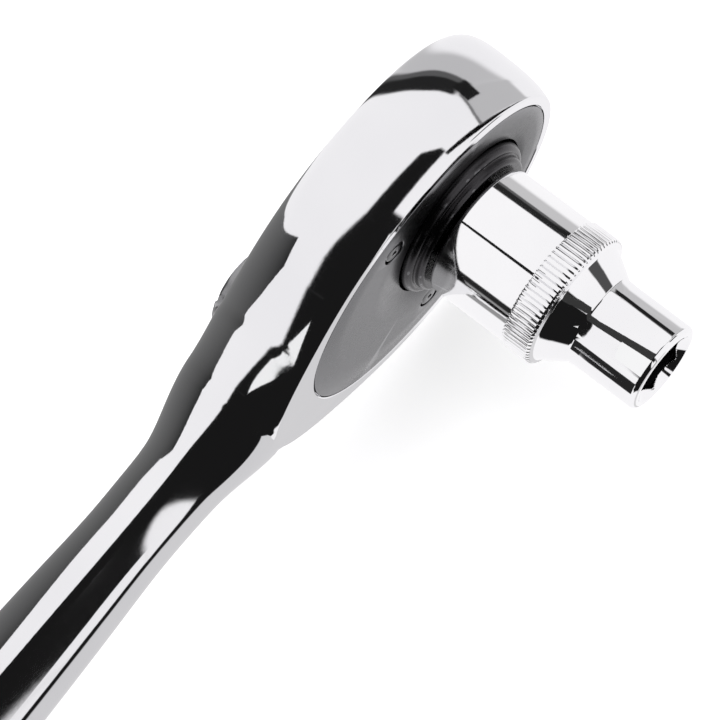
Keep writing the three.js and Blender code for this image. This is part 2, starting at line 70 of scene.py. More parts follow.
PLATE = {"x": 7.1, "long": 27.5, "wide": 20.8, "thick": 2.0}
TAIL, TAIL_POWER = 8.3, 5.65  # draws the head's outline out towards the handle
BACK_Y = -18.8
CAVITY_Y = -16.1
SEAT_Y = -PLATE["thick"] - GAP
COLLAR_R = 13.76
SQUARE = 12.7
SELECTOR_X = 28.0
LEVER_ANGLE = -25
PAWL_PIN_X = 18.8
SCREW = {"x": 11.5, "z": 15.2, "shank": 1.2, "head": 1.8, "tip_y": -8}
MOUTH_Y = 60.4  # in the part's frame: the socket's lead-in starts here
BALL_R, BALL_PROUD, BALL_Y = 1.9, 0.2, 12.8
BALL_Z = SQUARE / 2 + BALL_PROUD - BALL_R
TEETH = {"count": 36, "root": 14.5, "tip": 15.6, "land": 0.12}

# Radii of the bores in the head
BORE = {"gear": 16.0, "washer": 8.3, "button": 5.5, "chamber": 6.4, "lever": 6.75, "shaft": 4.7,
        "pawl_pin": 1.55, "screw": 1.5}
CHAMBER_HALF = 6.2
PAWL_SWEEP = {"inner": 15, "outer": 20.5, "half_angle": 42}


# ---- meshes ------------------------------------------------------------------------------------

def add_mesh(name, verts, faces, sharp=32):
    """Makes an object of a closed mesh given in millimetres, with edges over `sharp` degrees crisp."""
    mesh = bpy.data.meshes.new(name)
    verts = (np.asarray(verts, float) + (0, PLATE_Y, 0)) * MM
    mesh.from_pydata(verts.tolist(), [], faces)
    mesh.validate()
    bm = bmesh.new()
    bm.from_mesh(mesh)
    bmesh.ops.remove_doubles(bm, verts=bm.verts, dist=1e-7)
    bmesh.ops.recalc_face_normals(bm, faces=bm.faces)
    bm.to_mesh(mesh)
    bm.free()
    obj = bpy.data.objects.new(name, mesh)
    scene.collection.objects.link(obj)
    crisp(obj, sharp)
    return obj


def crisp(obj, sharp=32):
    obj.data.shade_smooth()
    obj.data.set_sharp_from_angle(angle=math.radians(sharp))


def skin(rings, closed=False):
    """Faces over rings of points, all of one count. A ring of one point is a pole."""
    verts, faces, starts = [], [], []
    for ring in rings:
        starts.append(len(verts))
        verts.extend(ring)
    pairs = list(range(len(rings) - 1)) + ([-1] if closed else [])
    for k in pairs:
        low, high = rings[k], rings[k + 1]
        a, b = starts[k], starts[k + 1]
        count = max(len(low), len(high))
        for i in range(count):
            j = (i + 1) % count
            if len(low) == 1:
                faces.append((a, b + j, b + i))
            elif len(high) == 1:
                faces.append((a + i, a + j, b))
            else:
                faces.append((a + i, a + j, b + j, b + i))
    return verts, faces


def stack(rows, count, closed=False, center=(0, 0)):
    """Skin round the Y axis. Each row is (radius, y), each a number or one value per angle."""
    angle = turn(count)
    rings = []
    for radius, y in rows:
        if np.max(radius) < 1e-6:
            rings.append([(center[0], float(np.mean(y)), center[1])])
            continue
        r, h = np.broadcast_to(radius, count), np.broadcast_to(y, count)
        x, z = center[0] + r * np.cos(angle), center[1] + r * np.sin(angle)
        rings.append(list(zip(x.tolist(), h.tolist(), z.tolist())))
    return skin(rings, closed)


def turn(count):
    return 2 * np.pi * np.arange(count) / count


def rounded(points, radius=0.3, steps=4):
    """The polyline with a curve in place of each inner corner, about `radius` back along both sides."""
    pts = np.asarray(points, float)
    out = [pts[0]]
    for a, p, b in zip(pts, pts[1:], pts[2:]):
        back, ahead = a - p, b - p
        u = back / np.linalg.norm(back) * min(radius, 0.45 * np.linalg.norm(back))
        v = ahead / np.linalg.norm(ahead) * min(radius, 0.45 * np.linalg.norm(ahead))
        for s in np.linspace(0, 1, steps + 1):
            out.append((1 - s) ** 2 * (p + u) + 2 * s * (1 - s) * p + s ** 2 * (p + v))
    out.append(pts[-1])
    return [tuple(v) for v in out]


def polygon_reach(angle, flat, sides, corner=None, phase=0.0):
    """Distance to a regular polygon's side, `flat` from the middle, with corners cut or rounded."""
    step = 2 * np.pi / sides
    off = np.mod(angle - phase + step / 2, step) - step / 2
    reach = flat / np.cos(off)
    return reach if corner is None else soft_min(reach, corner, 0.12)


def soft_max(a, b, k):
    share = np.clip(0.5 + 0.5 * (a - b) / k, 0, 1)
    return b * (1 - share) + a * share + k * share * (1 - share)


def soft_min(a, b, k):
    return -soft_max(-a, -b, k)


def spline(knots, values, at):
    """Natural cubic spline through the knots, for each column of values."""
    knots, at = np.asarray(knots, float), np.asarray(at, float)
    values = np.asarray(values, float).reshape(len(knots), -1)
    n, gap = len(knots), np.diff(knots)
    left, right = np.eye(n), np.zeros_like(values)
    for i in range(1, n - 1):
        left[i, i - 1:i + 2] = gap[i - 1], 2 * (gap[i - 1] + gap[i]), gap[i]
        right[i] = 6 * ((values[i + 1] - values[i]) / gap[i] - (values[i] - values[i - 1]) / gap[i - 1])
    bend = np.linalg.solve(left, right)
    k = np.clip(np.searchsorted(knots, at) - 1, 0, n - 2)
    a, b, h = (knots[k + 1] - at)[:, None], (at - knots[k])[:, None], gap[k][:, None]
    cubic = (bend[k] * a ** 3 + bend[k + 1] * b ** 3) / (6 * h)
    return cubic + (values[k] / h - bend[k] * h / 6) * a + (values[k + 1] / h - bend[k + 1] * h / 6) * b


def cut(target, *shapes):
    """Takes closed shapes, each (verts, faces) in millimetres, out of a piece."""
    tools = bpy.data.collections.new("cutters")
    for shape in shapes:
        tool = add_mesh("cutter", *shape)
        scene.collection.objects.unlink(tool)
        tools.objects.link(tool)
    modifier = target.modifiers.new("cut", "BOOLEAN")
    modifier.operation, modifier.solver = "DIFFERENCE", "EXACT"
    modifier.operand_type, modifier.collection = "COLLECTION", tools
    bpy.context.view_layer.update()
    evaluated = target.evaluated_get(bpy.context.evaluated_depsgraph_get())
    old, target.data = target.data, bpy.data.meshes.new_from_object(evaluated)
    target.modifiers.clear()
    bpy.data.meshes.remove(old)
    for tool in list(tools.objects):
        bpy.data.meshes.remove(tool.data)
    bpy.data.collections.remove(tools)


def prism(outline, y0, y1):
    low = [(x, y0, z) for x, z in outline]
    high = [(x, y1, z) for x, z in outline]
    verts, faces = skin([low, high])
    count = len(outline)
    faces.append(tuple(range(count))[::-1])
    faces.append(tuple(range(count, 2 * count)))
    return verts, faces


def pit(radius, y0, y1, x=0.0, z=0.0, count=72):
    """A plain round cutter from y0 to y1."""
    return stack([(0, y0), (radius, y0), (radius, y1), (0, y1)], count, center=(x, z))


def hole(radius, y0, y1, x=0.0):
    """A round cutter from the floor y0 to y1, which leaves a chamfer on the rim at y1."""
    edge, count = 0.12, 72
    up = 1 if y1 > y0 else -1
    rows = [(0, y0), (radius, y0), (radius, y1 - up * edge), (radius + 2 * edge, y1 + up * edge),
            (radius + 2 * edge, y1 + up), (0, y1 + up)]
    return stack(rows, count, center=(x, 0))


# ---- head and handle ---------------------------------------------------------------------------

def head_side():
    """[growth over the plate's outline along X, and along Z, y], from the front rim to the back."""
    edge, rim = 0.4, 2.0
    bend = np.radians(np.linspace(90, 22, 18))
    grow = rim - edge + edge * np.cos(bend)
    arc = np.c_[grow, grow, -edge + edge * np.sin(bend)]
    side = [[2.25, 2.25, -1.0], [2.55, 2.55, -2.0], [2.82, 2.82, -3.2], [3.05, 3.05, -5], [3.22, 3.2, -8],
            [3.3, 3.0, -11], [3.15, 2.0, -13.8], [2.3, -0.1, -16.2], [0.2, -3.0, -17.95], [-3.6, -7, -18.65],
            [-10, -12, BACK_Y]]
    pts = np.vstack([arc[-3:], side])
    chord = np.r_[0, np.cumsum(np.linalg.norm(np.diff(pts, axis=0), axis=1))]
    return np.vstack([arc[:-1], spline(chord, pts, np.linspace(chord[2], chord[-1], 420))])


SIDE = head_side()
HEAD_MID_Y = -9.4

# x, middle y, half height, half width, squareness of the section along the neck and the shank
NECK = np.array([
    [34, -9.4, 9.2, 12.6, 3.0], [38, -9.4, 9.2, 11.4, 2.8], [42, -9.5, 9.3, 10.2, 2.7],
    [46, -9.3, 9.2, 9.1, 2.5], [51, -9.1, 8.35, 8.1, 2.2], [56, -9.03, 7.35, 7.35, 2.0],
    [62, -9.23, 7.0, 7.0, 2.0], [70, -9.5, 6.95, 6.95, 2.0], [80, -9.83, 7.4, 7.4, 2.0],
    [98, -10.42, 8.2, 8.2, 2.0], [124, -11.28, 9.3, 9.3, 2.0],
])
NECK_X, TAPER_END_X = NECK[0, 0], NECK[-1, 0]
HEAD_END_X = 46  # the section is the neck's alone past this
FINE_END_X = 57

# [x, radius] past the taper: a bead, the core under the knurled grip, a bead and the domed end
DOME_X, DOME_LONG, DOME_R = 214, 14, 11.0
END_PROFILE = rounded(
    [(TAPER_END_X, 9.3), (128, 9.3), (128.5, 8.8), (131.2, 8.8), (131.7, 9.9), (204.3, 9.9), (204.8, 9.2),
     (207.2, 9.2), (207.7, 10.6), (DOME_X, DOME_R)], 0.3)
DOME = [(DOME_X + DOME_LONG * math.sin(a), DOME_R * math.cos(a)) for a in np.radians(np.linspace(6, 84, 22))]


def axis_y(x):
    return -9 - 0.033 * (x - 55)


def head_reach(x, dx, phi, mid_y):
    """Polar radius of the head's section. With dx = 0 the section is the plane at x, and otherwise
    it is the upright plane from the plate's middle along (dx, dz)."""
    long, wide = PLATE["long"] + SIDE[:, 0], PLATE["wide"] + SIDE[:, 1]
    if dx is not None:
        dz = math.sqrt(1 - dx * dx)
        width = 1 / np.sqrt((dx / long) ** 2 + (dz / wide) ** 2)
    else:
        angle = np.linspace(0, np.pi, 1441)
        c = np.cos(angle)
        width = np.empty(len(long))
        for j, (a, b) in enumerate(zip(long, wide)):
            along = PLATE["x"] + a * c + TAIL * np.maximum(c, 0) ** TAIL_POWER
            at = np.interp(-x, -along, angle)
            width[j] = b * math.sin(at) if x < along[0] else 0.0
    level, width = SIDE[::-1, 2], width[::-1]
    low, high = np.zeros(len(phi)), np.full(len(phi), 45.0)
    for _ in range(44):
        r = (low + high) / 2
        y, w = mid_y + r * np.cos(phi), r * np.sin(phi)
        inside = (y < 0) & (y > BACK_Y) & (w < np.interp(y, level, width))
        low, high = np.where(inside, r, low), np.where(inside, high, r)
    return low


def neck_reach(high, wide, power, phi):
    return (np.abs(np.cos(phi) / high) ** power + np.abs(np.sin(phi) / wide) ** power) ** (-1 / power)


def even_out(y, w, count):
    """Resamples half a section, with more points where it bends."""
    bend_scale = 7.0
    length = np.hypot(np.diff(y), np.diff(w))
    s = np.r_[0, np.cumsum(length)]
    fine = np.linspace(0, s[-1], 1600)
    fy, fw = np.interp(fine, s, y), np.interp(fine, s, w)
    heading = np.unwrap(np.arctan2(np.gradient(fw), np.gradient(fy)))
    bend = np.abs(np.gradient(heading, fine))
    kernel = np.hanning(41)
    bend = np.convolve(np.pad(bend, 20, mode="edge"), kernel / kernel.sum(), "valid")
    weight = np.r_[0, np.cumsum(np.sqrt(1 + (bend_scale * bend[1:]) ** 2) * np.diff(fine))]
    at = np.interp(np.linspace(0, weight[-1], count), weight, fine)
    return np.interp(at, fine, fy), np.interp(at, fine, fw)


def forging_rings(half=96):
    phi = np.linspace(0, np.pi, 1200)
    rings = []

    def add(r, mid_y, x=None, dx=None):
        y, w = even_out(mid_y + r * np.cos(phi), r * np.sin(phi), half)
        y[0], y[-1], w[0], w[-1] = mid_y + r[0], mid_y - r[-1], 0, 0
        px = np.full(half, x) if dx is None else PLATE["x"] + w * dx
        pz = w if dx is None else w * math.sqrt(1 - dx * dx)
        rings.append(np.c_[px, y, pz])

    for angle in np.radians(np.linspace(180, 92, 45)):
        add(head_reach(None, math.cos(angle), phi, HEAD_MID_Y), HEAD_MID_Y, dx=math.cos(angle))
    for x in np.r_[np.arange(PLATE["x"], FINE_END_X, 0.7), np.arange(FINE_END_X, TAPER_END_X, 1.6)]:
        mid_y, high, wide, power = spline(NECK[:, 0], NECK[:, 1:], [max(x, NECK_X)])[0]
        inset = max(NECK_X - x, 0)  # the neck shrinks away inside the head
        r = neck_reach(high - 0.3 * inset, max(wide - 0.5 * inset, 1), max(power, 2), phi)
        if x < HEAD_END_X:
            head = head_reach(x, None, phi, mid_y)
            r = head if inset > 8 else soft_max(head, r, 0.25 + 3.2 * np.sin(phi) ** 2)
        add(r, mid_y, x=x)
    for x, radius in [*END_PROFILE, *DOME]:
        add(np.full(len(phi), radius), axis_y(x), x=x)
    return rings


def head_and_handle():
    # Both halves of a station make one ring: down the +Z side, and back up the -Z side
    loops = [np.vstack([ring, ring[-2:0:-1] * (1, 1, -1)]).tolist() for ring in forging_rings()]
    verts, faces = skin(loops)
    faces.append(tuple(range(len(verts) - len(loops[-1]), len(verts))))
    piece = add_mesh("head_and_handle_chrome", verts, faces)
    reach, inner = plate_reach(turn(240), 0.2), SEAT_Y + 0.5
    chamber_x = PAWL_PIN_X - 1
    chamber = [(chamber_x, -CHAMBER_HALF), (SELECTOR_X, -CHAMBER_HALF), (SELECTOR_X, CHAMBER_HALF),
               (chamber_x, CHAMBER_HALF)]
    recess = [(0, SEAT_Y), (reach, SEAT_Y), (reach, -0.1), (reach + 0.22, 0.12), (reach + 0.22, 2), (0, 2)]
    # Cutters that meet end a hair apart, so that no two of their faces share a plane
    shapes = [
        stack(recess, 240),
        pit(BORE["gear"], CAVITY_Y, inner, count=96),
        prism(sector(**PAWL_SWEEP), CAVITY_Y + 0.01, inner + 0.1),
        prism(chamber, CAVITY_Y + 0.02, inner + 0.2),
        pit(BORE["chamber"], CAVITY_Y + 0.03, inner + 0.3, x=SELECTOR_X),
        pit(BORE["washer"], -17.9, -15, count=80),
        hole(BORE["button"], -14, BACK_Y),
        hole(BORE["lever"], -18.4, BACK_Y, x=SELECTOR_X),
        pit(BORE["shaft"], -20, -14, x=SELECTOR_X, count=64),
        pit(BORE["pawl_pin"], -17.8, -14.5, x=PAWL_PIN_X, count=32),
    ]
    for side in (-1, 1):
        shapes.append(pit(BORE["screw"], -8.3, inner, SCREW["x"], side * SCREW["z"], count=32))
    cut(piece, *shapes)
    crisp(piece)
    return piece


def sector(inner, outer, half_angle, steps=24):
    sweep = np.radians(np.linspace(-half_angle, half_angle, steps))
    arc = [(outer * math.cos(a), outer * math.sin(a)) for a in sweep]
    return arc + [(inner * math.cos(a), inner * math.sin(a)) for a in sweep[::-1]]


def plate_reach(angle, grow):
    """Distance from the drive axis to the cover plate's outline, grown by `grow`."""
    a, b, x0 = PLATE["long"] + grow, PLATE["wide"] + grow, PLATE["x"]
    c, s = np.cos(angle), np.sin(angle)
    p = (c / a) ** 2 + (s / b) ** 2
    q = -2 * x0 * c / a ** 2
    r = (x0 / a) ** 2 - 1
    return (-q + np.sqrt(q * q - 4 * p * r)) / (2 * p)


KNURL = {"x0": 132.4, "x1": 203.6, "around": 41, "along": 44, "tip": 10.4, "root": 9.95, "flat": 0.3,
         "end": 0.35, "inner": 9.6}


def grip_knurl():
    """A sleeve of flat-topped diamonds on the grip's core, closed at both ends and inside."""
    k = KNURL
    columns, rows = 2 * k["around"], 2 * k["along"]
    xs = np.linspace(k["x0"], k["x1"], rows + 1)

    def at(row, column, radius):
        x, angle = np.interp(row, np.arange(rows + 1), xs), 2 * math.pi * column / columns
        return (float(x), axis_y(x) + radius * math.cos(angle), radius * math.sin(angle))

    verts, faces = [], []
    ids = {}

    def corner(row, column):
        key = (row, column % columns)
        if key not in ids:
            ids[key] = len(verts)
            radius = k["root"] if (row + column) % 2 == 0 else k["root"] + 0.02
            verts.append(at(row, column, radius))
        return ids[key]

    for row in range(1, rows):
        for column in range(columns):
            if (row + column) % 2 == 0:
                continue
            around = [(row + 1, column), (row, column + 1), (row - 1, column), (row, column - 1)]
            base = [corner(r, c) for r, c in around]
            top = []
            for r, c in around:
                top.append(len(verts))
                verts.append(at(row + k["flat"] * (r - row), column + k["flat"] * (c - column), k["tip"]))
            faces.append(tuple(top))
            for i in range(4):
                j = (i + 1) % 4
                faces.append((base[i], base[j], top[j], top[i]))
    ends = []
    for row, sign in ((0, -1), (rows, 1)):
        rim = [corner(row, column) for column in range(columns)]
        for column in range(columns):
            if (row + column) % 2 == 1:
                inner = corner(row - sign, column)
                faces.append((corner(row, column - 1), corner(row, column), inner))
                faces.append((corner(row, column), corner(row, column + 1), inner))
        collar = len(verts)
        for column in range(columns):
            x = xs[row] + k["end"] * sign
            angle = 2 * math.pi * column / columns
            verts.append((float(x), axis_y(x) + k["inner"] * math.cos(angle), k["inner"] * math.sin(angle)))
        for column in range(columns):
            nxt = (column + 1) % columns
            faces.append((rim[column], rim[nxt], collar + nxt, collar + column))
        ends.append(collar)
    for column in range(columns):
        nxt = (column + 1) % columns
        faces.append((ends[0] + column, ends[0] + nxt, ends[1] + nxt, ends[1] + column))
    return add_mesh("grip_knurl", verts, faces, sharp=20)


# ---- cover plate and screws --------------------------------------------------------------------

def cover_plate():
    count = 288
    outer = plate_reach(turn(count), -0.02)
    bore = COLLAR_R + GAP
    back = -PLATE["thick"]
    rows = [(bore, back), (bore, -0.3), (bore + 0.09, -0.09), (bore + 0.3, 0)]
    rows += [(bore + 0.3 + (outer - bore - 0.55) * s, 0) for s in (0.3, 0.7)]
    rows += [(outer - 0.16, 0), (outer - 0.05, -0.05), (outer, -0.18), (outer, back)]
    piece = add_mesh("cover_plate_satin", *stack(rows, count, closed=True))
    for side in (-1, 1):
        tool = [(0, -3), (1.5, -3), (1.5, -1.3), (2.1, -1.3), (2.1, -0.12), (2.3, 0.12), (2.3, 1), (0, 1)]
        cut(piece, stack(tool, 64, center=(SCREW["x"], side * SCREW["z"])))
    crisp(piece)
    return piece


def cover_screw(which, side):
    count = 96
    shank, head, tip_y = SCREW["shank"], SCREW["head"], SCREW["tip_y"]
    key = polygon_reach(turn(count), 0.44, 6, 0.5)
    rows = [(0, -0.75), (key * 0.9, -0.55), (key, -0.5), (key, -0.05), (key + 0.08, 0.02)]
    rows += rounded([(0.75, 0.04), (1.4, -0.02), (1.72, -0.14), (head, -0.4), (head, -1), (shank, -1)], 0.12)
    for turn_y in np.arange(-1.4, -7.4, -0.5):  # rolled thread
        rows += [(shank, turn_y), (1.02, turn_y - 0.25)]
    rows += [(shank, -7.5), (0.9, tip_y), (0, tip_y)]
    shape = stack(rows, count, center=(SCREW["x"], side * SCREW["z"]))
    return add_mesh(f"cover_screw_{which}_steel", *shape)


# ---- drive -------------------------------------------------------------------------------------

def tooth_reach(angle, count, root, tip, land):
    """A saw between root and tip, with `land` of each tooth flat at its top."""
    phase = np.abs(np.mod(angle * count / (2 * np.pi) + 0.5, 1) - 0.5) * 2
    return root + (tip - root) * np.clip((1 - phase) / (1 - land), 0, 1)


def drive_gear():
    foot_y, fillet = 2.7, 0.5
    count = TEETH["count"] * 10
    angle = turn(count)
    teeth = tooth_reach(angle, **TEETH)
    square = polygon_reach(angle, SQUARE / 2, 4, 8.25)
    # The pin's bore, the hub behind the teeth, the teeth, and the seal's groove in the collar
    rows = [(0, 15.4), (2.75, 15.4), (2.75, -10), (4.7, -10), (4.7, -16.1), (5.5, -16.1), (5.5, -17.4),
            (5.7, -17.6), (7.7, -17.6), (8, -17.3), (8, -15), (14.2, -15),
            (teeth - 0.3, -14.95), (teeth, -14.6), (teeth, -3.1), (teeth - 0.3, -2.75), (COLLAR_R, -2.7),
            (COLLAR_R, -1.85), (13.7, -1.8), (12.6, -1.8), (12.6, -0.6), (13.7, -0.6)]
    rows += rounded([(COLLAR_R, -0.55), (COLLAR_R, 0.55), (13.4, 1.2), (12.86, 1.42), (12.3, 1.3),
                     (12.25, 2.25), (11.85, foot_y), (9.6, foot_y)], 0.35, 6)
    for a in np.radians(np.linspace(0, 90, 6)):
        rows.append((square + fillet * (1 - math.sin(a)), foot_y + fillet * (1 - math.cos(a))))
    rows += [(square, 8), (square, 12), (square, 16.7), (square - 0.12, 16.95), (square - 0.62, 17.9),
             (square - 0.8, 18), (4, 18), (0, 18)]
    piece = add_mesh("drive_gear_steel", *stack(rows, count))
    lip = SQUARE / 2 - 0.2
    tool = [(0, 0), (2.2, 0), (2.2, lip), (1.6, lip), (1.55, lip + 0.12), (1.7, SQUARE / 2 + 0.05), (1.7, 9),
            (0, 9)]
    verts, faces = stack(tool, 48)
    cut(piece, ([(x, BALL_Y - z, y) for x, y, z in verts], faces))
    crisp(piece)
    return piece


def release_button():
    pin_r, tip_y = 2.45, 12.9
    rows = [(0, -21.7), (1.6, -21.72), (3.2, -21.85), (3.9, -22)]
    rows += rounded([(3.9, -22), (4.5, -22), (5.2, -21.3), (5.2, -18.6), (pin_r, -18.6), (pin_r, 8.7),
                     (1.4, 9.6), (1.4, 11.2), (pin_r, 12.2), (pin_r, 12.5), (2.05, tip_y),
                     (0.1, tip_y)], 0.2)[1:]
    rows += [(0, tip_y)]
    return add_mesh("release_button_steel", *stack(rows, 96))


def retaining_ball():
    angle = np.radians(np.linspace(0, 180, 33))
    rows = [(BALL_R * math.sin(a), -BALL_R * math.cos(a)) for a in angle]
    rows[0], rows[-1] = (0, rows[0][1]), (0, rows[-1][1])
    verts, faces = stack(rows, 64)
    return add_mesh("retaining_ball_steel", [(x, y + BALL_Y, z + BALL_Z) for x, y, z in verts], faces)


# ---- socket ------------------------------------------------------------------------------------

def socket():
    front_y, mouth_y = 39.7, 38.3
    count = 456
    angle = turn(count)
    square = polygon_reach(angle, SQUARE / 2 + GAP, 4, 9.0)
    groove = np.maximum(square, 7.6)
    hexagon = polygon_reach(angle, 5.0, 6, 5.62, math.pi / 6)
    knurl = tooth_reach(angle, count=76, root=11.05, tip=11.5, land=0.62)

    rows = [(square + 0.35, 3.3)]
    rows += rounded([(9.9, 3.3), (10.85, 3.3), (11.2, 3.7), (11.2, 17.3), (11.2, 17.6)], 0.3)
    rows += [(np.minimum(knurl, 11.2), 17.68), (np.minimum(knurl, 11.4), 17.8), (knurl, 18.0), (knurl, 20.2),
             (knurl, 22.3), (np.minimum(knurl, 11.3), 22.62), (np.minimum(knurl, 11.1), 22.78), (10.9, 22.84)]
    rows += rounded([(10.6, 22.85), (10.25, 23.0), (9.3, 24.6), (7.62, 27.2), (7.55, 28.8), (7.55, 39.15),
                     (7.0, front_y), (6.25, front_y)], 0.3, 5)
    for y in np.linspace(front_y, mouth_y, 12):
        rows.append((np.maximum(hexagon, 4.9 + (y - mouth_y) * 0.86), y))
    rows += [(hexagon, 34), (hexagon, 27.4), (hexagon - 0.05, 27.1), (4.75, 27), (4.45, 26.7), (4.4, 26.4),
             (4.4, 20.5), (4.6, 20.3), (square - 0.2, 20.3), (square, 20.1), (square, 15.2), (groove, 15.1),
             (groove, 10.5), (square, 10.4), (square, 3.75)]
    return add_mesh("socket_chrome", *stack(rows, count, closed=True), sharp=28)


# ---- selector lever ----------------------------------------------------------------------------

def selector_lever():
    disc_r, shaft_r, top_y, edge = 6.2, 4.4, -21.0, 0.5
    count = 240
    angle = turn(count)
    c, s = np.cos(angle), np.sin(angle)
    disc = np.full(count, disc_r)
    side = 2.6 / np.maximum(np.abs(s), 1e-6)
    nose = np.where(c > 0, 8.0 / np.maximum(np.abs(c) ** 0.9, 1e-6), 0)
    arm = np.where(c > 0, soft_min(side, soft_min(nose, 7.95, 0.5), 0.6), 0)
    outline = np.minimum(soft_max(disc, arm, 0.9), 7.98)

    def top(r):
        x = r * c
        rise = np.clip((r - 5.2) / 1.6, 0, 1)
        rise = rise * rise * (3 - 2 * rise)
        dish = 0.25 * np.exp(-(r / 2.6) ** 2)
        ribs = 0.09 * np.cos(2 * np.pi * x / 0.8) * np.clip((x - 5.6) / 0.5, 0, 1)
        return top_y + 0.7 * rise + dish + ribs

    # The shaft has two grooves, for the clip and for the seal
    shaft = [(3.9, -2.7), (shaft_r, -3.2), (shaft_r, -14.7), (3.4, -14.7), (3.4, -16.1), (shaft_r, -16.1),
             (shaft_r, -16.3), (3.45, -16.3), (3.45, -17.9), (shaft_r, -17.9), (shaft_r, -18.7), (5.4, -18.7)]
    rows = [(0, -2.7)] + rounded(shaft, 0.1, 2)
    rows += [(5.9, -18.7), (6.1, -18.78), (disc_r, -18.95), (disc_r, -19.1)]
    rows += [(outline - 0.12, -19.1), (outline, -19.22)]
    for a in np.radians(np.linspace(0, 90, 7)):
        r = outline - edge * (1 - math.cos(a))
        rows.append((r, np.maximum(top(outline - edge), top_y) + edge * (1 - math.sin(a))))
    for share in np.linspace(0.97, 0.04, 34):
        rows.append(((outline - edge) * share, top((outline - edge) * share)))
    rows.append((0, -20.75))
    piece = add_mesh("selector_lever_steel", *stack(rows, count), sharp=40)
    bore, faces = pit(1.6, 0, 10, count=40)
    cut(piece, ([(y - 2.6, x - 9.2, z) for x, y, z in bore], faces))
    swung = Matrix.Rotation(math.radians(LEVER_ANGLE), 4, "Y")
    piece.data.transform(Matrix.Translation(Vector((SELECTOR_X * MM, 0, 0))) @ swung)
    crisp(piece, 40)
    return piece


# ---- pieces ------------------------------------------------------------------------------------

def place(piece, body, slot, *replaced):
    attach(piece, body)
    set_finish(piece, slot)
    if replaced:
        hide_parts(*replaced)
    return piece


pieces = {
    "forging": place(head_and_handle(), "wrench", "chrome_forging", "head_and_handle"),
    "knurl": place(grip_knurl(), "wrench", "chrome_forging"),
    "plate": place(cover_plate(), "wrench", "satin_plate", "cover_plate"),
    "screw_upper": place(cover_screw("upper", 1), "wrench", "bright_steel", "cover_screw_upper"),
    "screw_lower": place(cover_screw("lower", -1), "wrench", "bright_steel", "cover_screw_lower"),
    "gear": place(drive_gear(), "drive", "dark_steel", "drive_gear"),
    "button": place(release_button(), "release", "bright_steel", "release_button"),
    "ball": place(retaining_ball(), "ball", "bright_steel", "retaining_ball"),
    "socket": place(socket(), "socket", "chrome_socket", "socket"),
    "lever": place(selector_lever(), "selector", "bright_steel", "selector_lever"),
}


# ---- materials ---------------------------------------------------------------------------------

class Nodes:
    """Short spellings for making the nodes of a tree."""

    def __init__(self, tree):
        self.tree = tree

    def add(self, kind, **values):
        node = self.tree.nodes.new(kind)
        for key, value in values.items():
            setattr(node, key, value)
        return node

    def link(self, source, target):
        self.tree.links.new(source, target)

    def math(self, operation, a, b):
        node = self.add("ShaderNodeMath", operation=operation)
        for socket, value in zip(node.inputs, (a, b)):
            if isinstance(value, (int, float)):
                socket.default_value = value
            else:
                self.link(value, socket)
        return node.outputs["Value"]

    def vector_math(self, operation, vector, other=None):
        node = self.add("ShaderNodeVectorMath", operation=operation)
        self.link(vector, node.inputs[0])
        if other is not None:
            node.inputs[1].default_value = other
        return node


class Surface(Nodes):
    """A material's nodes, with `place` for the point on the piece in metres."""

    def __init__(self, name):
        self.material = bpy.data.materials.new(name)
        self.material.use_nodes = True
        super().__init__(self.material.node_tree)
        self.shader = self.tree.nodes["Principled BSDF"]
        self.place = self.add("ShaderNodeTexCoord").outputs["Object"]

    def set(self, **values):
        for name, value in values.items():
            self.shader.inputs[name.replace("_", " ")].default_value = value

    def stretched(self, scale):
        mapping = self.add("ShaderNodeMapping")
        mapping.inputs["Scale"].default_value = scale
        self.link(self.place, mapping.inputs["Vector"])
        return mapping.outputs["Vector"]

    def noise(self, scale, detail, roughness=0.55, vector=None):
        node = self.add("ShaderNodeTexNoise")
        for key, value in (("Scale", scale), ("Detail", detail), ("Roughness", roughness)):
            node.inputs[key].default_value = value
        self.link(vector or self.place, node.inputs["Vector"])
        return node.outputs["Fac"]

    def spread(self, source, low, high, start=0.35, end=0.65):
        node = self.add("ShaderNodeMapRange")
        for key, value in (("From Min", start), ("From Max", end), ("To Min", low), ("To Max", high)):
            node.inputs[key].default_value = value
        self.link(source, node.inputs["Value"])
        return node.outputs["Result"]

    def blend(self, share, color_a, color_b):
        node = self.add("ShaderNodeMix", data_type="RGBA")
        self.link(share, node.inputs["Factor"])
        for socket, value in ((node.inputs["A"], color_a), (node.inputs["B"], color_b)):
            if isinstance(value, tuple):
                socket.default_value = (*value, 1)
            else:
                self.link(value, socket)
        return node.outputs["Result"]

    def worn_edges(self):
        """1 along convex edges, 0 on flat faces."""
        return self.spread(self.add("ShaderNodeNewGeometry").outputs["Pointiness"], 0, 1, 0.505, 0.56)

    def from_axis(self):
        """Distance from the piece's Y axis, in metres, and 1 on the faces that look towards that axis."""
        flat = self.vector_math("MULTIPLY", self.place, (1, 0, 1)).outputs["Vector"]
        unit = self.vector_math("NORMALIZE", flat).outputs["Vector"]
        dot = self.vector_math("DOT_PRODUCT", unit)
        self.link(self.add("ShaderNodeTexCoord").outputs["Normal"], dot.inputs[1])
        length = self.vector_math("LENGTH", flat)
        return length.outputs["Value"], self.math("LESS_THAN", dot.outputs["Value"], -0.2)

    def bump(self, height, distance):
        node = self.add("ShaderNodeBump")
        node.inputs["Distance"].default_value = distance
        self.link(height, node.inputs["Height"])
        self.link(node.outputs["Normal"], self.shader.inputs["Normal"])


# Colour of a painted shade: the dark bloom round the drive collar stands for the shade and mirror image of
# the collar and socket on the plate
COLLAR_SHADE = (0.02, 0.02, 0.022)


